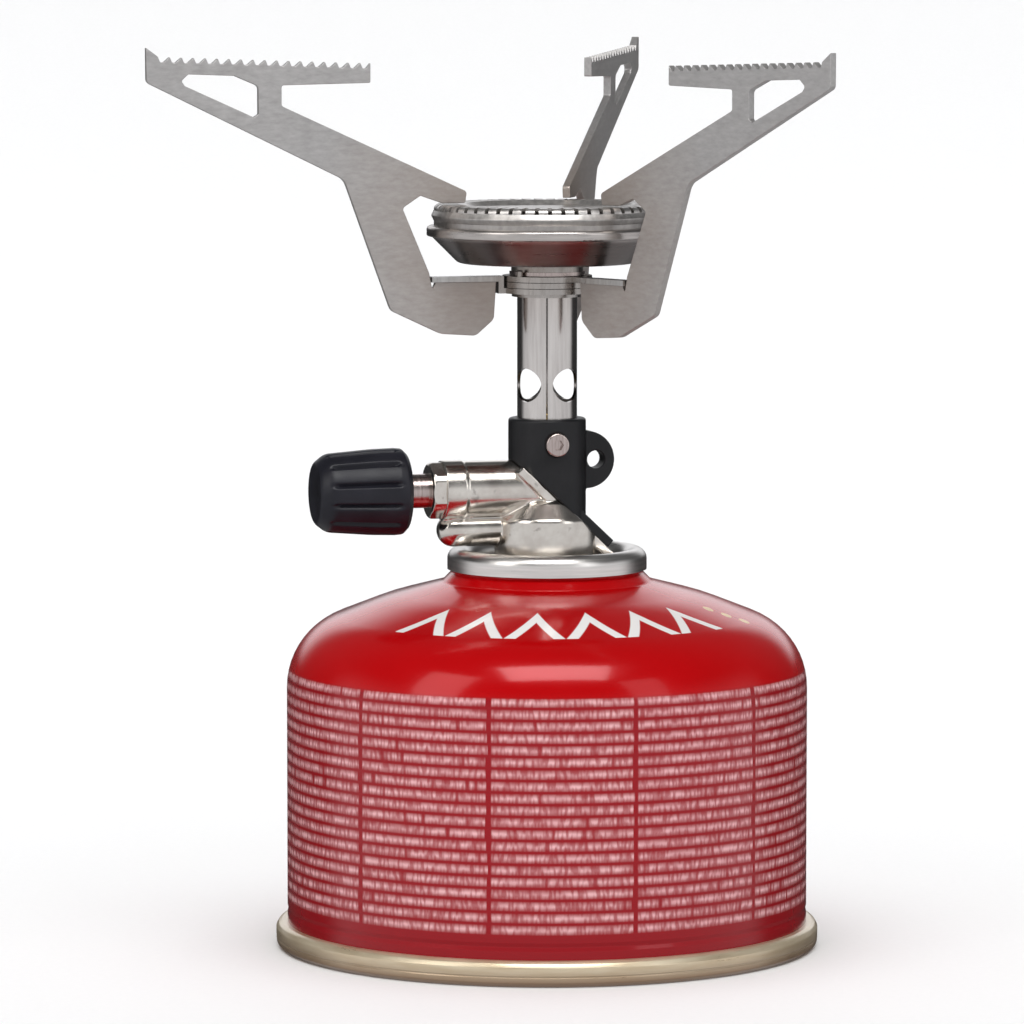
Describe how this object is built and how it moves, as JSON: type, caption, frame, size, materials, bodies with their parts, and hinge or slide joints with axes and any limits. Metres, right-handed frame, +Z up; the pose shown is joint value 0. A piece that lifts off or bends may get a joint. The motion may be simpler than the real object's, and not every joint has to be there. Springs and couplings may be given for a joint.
{
  "type": "canister stove",
  "caption": "Small gas burner with folding toothed pot supports and a knob-operated needle valve, screwed on a self-sealing gas cartridge.",
  "frame": {"origin": "centre of the cartridge's seam ring, on the plane it stands on", "axes": "+Z up along the cartridge and burner axis, valve knob towards -X"},
  "size_m": [0.1135, 0.1211, 0.1507],
  "materials": {
    "red_enamel": "gloss red paint with a printed label band",
    "tinplate": "pale gold lacquered tinplate",
    "cup_steel": "satin tinplate",
    "nickel_brass": "nickel plated, satin",
    "spindle_steel": "turned steel",
    "stainless": "brushed stainless plate",
    "burner_steel": "pressed stainless, slightly heat tinted",
    "jet_brass": "turned brass",
    "black_plastic": "moulded, fine texture",
    "white_plastic": "moulded",
    "rubber": "moulded ring"
  },
  "bodies": {
    "cartridge": {"canister_shell": "red_enamel", "canister_base": "tinplate", "valve_cup": "cup_steel", "cup_gasket": "rubber", "valve_neck": "cup_steel", "stem_gasket": "rubber", "valve_insert": "white_plastic", "valve_spring": "spindle_steel"},
    "stem": {"valve_stem": "white_plastic"},
    "neck_seal": {"neck_oring": "rubber"},
    "stove": {"stove_body": "nickel_brass", "valve_pin": "spindle_steel", "inlet_filter": "jet_brass", "jet": "jet_brass", "gland_nut": "nickel_brass", "burner_sleeve": "black_plastic", "clamp_screw": "spindle_steel", "burner_tube": "stainless", "tube_ledge": "stainless", "left_ring": "stainless", "left_arm": "stainless", "ring_clip": "spindle_steel", "burner_collar": "stainless", "burner_pan": "burner_steel", "burner_cap": "burner_steel", "burner_gauze": "burner_steel", "flame_spreader": "burner_steel"},
    "spindle_seal": {"spindle_oring": "rubber"},
    "knob": {"control_knob": "black_plastic", "spindle": "spindle_steel"},
    "back_support": {"back_ring": "stainless", "back_arm": "stainless"},
    "right_support": {"right_ring": "stainless", "right_arm": "stainless", "stop_rivet": "stainless"}
  },
  "joints": [
    {"name": "stem_press", "type": "slide", "parent": "cartridge", "child": "stem", "axis": [0, 0, -1], "range_m": [0, 0.001], "stiffness_N_per_m": 400, "springref_m": -0.003, "deforming": ["valve_spring"]},
    {"name": "stove_lift", "type": "slide", "parent": "cartridge", "child": "neck_seal", "axis": [0, 0, 1], "range_m": [0, 0.00544]},
    {"name": "stove_unscrew", "type": "hinge", "parent": "neck_seal", "child": "stove", "pos_m": [0, 0, 0.066], "axis": [0, 0, 1], "range_deg": [0, 2160]},
    {"name": "spindle_slide", "type": "slide", "parent": "stove", "child": "spindle_seal", "axis": [-1, 0, 0], "range_m": [0, 0.00112]},
    {"name": "knob_turn", "type": "hinge", "parent": "spindle_seal", "child": "knob", "pos_m": [-0.03, 0, 0.07685], "axis": [-1, 0, 0], "range_deg": [0, 540]},
    {"name": "back_arm_swivel", "type": "hinge", "parent": "stove", "child": "back_support", "pos_m": [0, 0, 0.1114], "axis": [0, 0, 1], "range_deg": [0, 98]},
    {"name": "right_arm_swivel", "type": "hinge", "parent": "stove", "child": "right_support", "pos_m": [0, 0, 0.1114], "axis": [0, 0, 1], "range_deg": [-97, 0]}
  ],
  "couplings": [
    {"joint": "stove_unscrew", "follows": "stove_lift", "rad_per_m": 6927.4},
    {"joint": "knob_turn", "follows": "spindle_slide", "rad_per_m": 8377.6}
  ]
}
